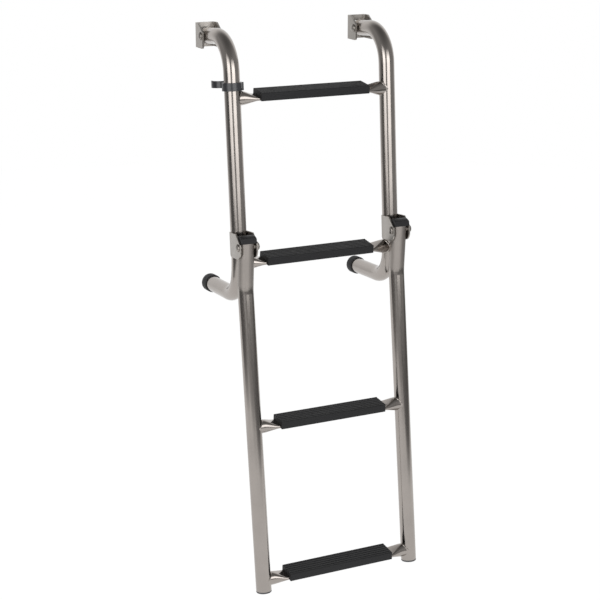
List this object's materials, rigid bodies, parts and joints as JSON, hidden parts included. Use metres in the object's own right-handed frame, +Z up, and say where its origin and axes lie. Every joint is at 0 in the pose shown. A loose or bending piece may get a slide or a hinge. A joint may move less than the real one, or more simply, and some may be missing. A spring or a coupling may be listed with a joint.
{
  "type": "folding boarding ladder",
  "caption": "Folding boat boarding ladder: bent tube rails, swivelling hull brackets, stand-off legs, a fold hinge on each rail, flattened step tubes with ribbed treads and a stow clip.",
  "frame": {"origin": "middle of the left bracket's flat back face, on the hull", "axes": "+Z up, +X across the ladder from the left rail to the right, +Y into the hull"},
  "size_m": [0.3116, 0.2351, 0.8989],
  "materials": {
    "polished_steel": "polished",
    "bright_fasteners": "polished",
    "black_plastic": "satin moulded",
    "tread_plastic": "ribbed moulded",
    "black_rubber": "matte",
    "grey_plastic": "satin moulded"
  },
  "bodies": {
    "hull_brackets": {"left_bracket": "polished_steel", "left_bracket_bolt": "bright_fasteners", "left_bracket_nut": "bright_fasteners", "right_bracket": "polished_steel", "right_bracket_bolt": "bright_fasteners", "right_bracket_nut": "bright_fasteners"},
    "upper_section": {"left_upper_rail": "polished_steel", "left_standoff_cap": "black_rubber", "left_hinge_outer_ear": "polished_steel", "left_hinge_inner_ear": "polished_steel", "left_hinge_bolt": "bright_fasteners", "left_hinge_nut": "bright_fasteners", "right_upper_rail": "polished_steel", "right_standoff_cap": "black_rubber", "right_hinge_outer_ear": "polished_steel", "right_hinge_inner_ear": "polished_steel", "right_hinge_bolt": "bright_fasteners", "right_hinge_nut": "bright_fasteners", "step_1_bar": "polished_steel", "step_1_tread": "tread_plastic", "step_2_bar": "polished_steel", "step_2_tread": "tread_plastic"},
    "lower_section": {"left_hinge_knuckle": "black_plastic", "left_lower_rail": "polished_steel", "left_foot_plug": "grey_plastic", "right_hinge_knuckle": "black_plastic", "right_lower_rail": "polished_steel", "right_foot_plug": "grey_plastic", "step_3_bar": "polished_steel", "step_3_tread": "tread_plastic", "step_4_bar": "polished_steel", "step_4_tread": "tread_plastic"},
    "stow_clip": {"stow_clip": "black_plastic"}
  },
  "joints": [
    {"name": "bracket_swing", "type": "hinge", "parent": "hull_brackets", "child": "upper_section", "pos_m": [0, -0.0233, 0], "axis": [-1, 0, 0], "range_deg": [0, 95]},
    {"name": "fold_hinge", "type": "hinge", "parent": "upper_section", "child": "lower_section", "pos_m": [0, -0.16244, -0.31084], "axis": [-1, 0, 0], "range_deg": [0, 180]},
    {"name": "clip_swivel", "type": "hinge", "parent": "upper_section", "child": "stow_clip", "pos_m": [0, -0.1106, -0.06838], "axis": [0, 0.0819, 0.9966], "range_deg": [-4, 176]}
  ]
}
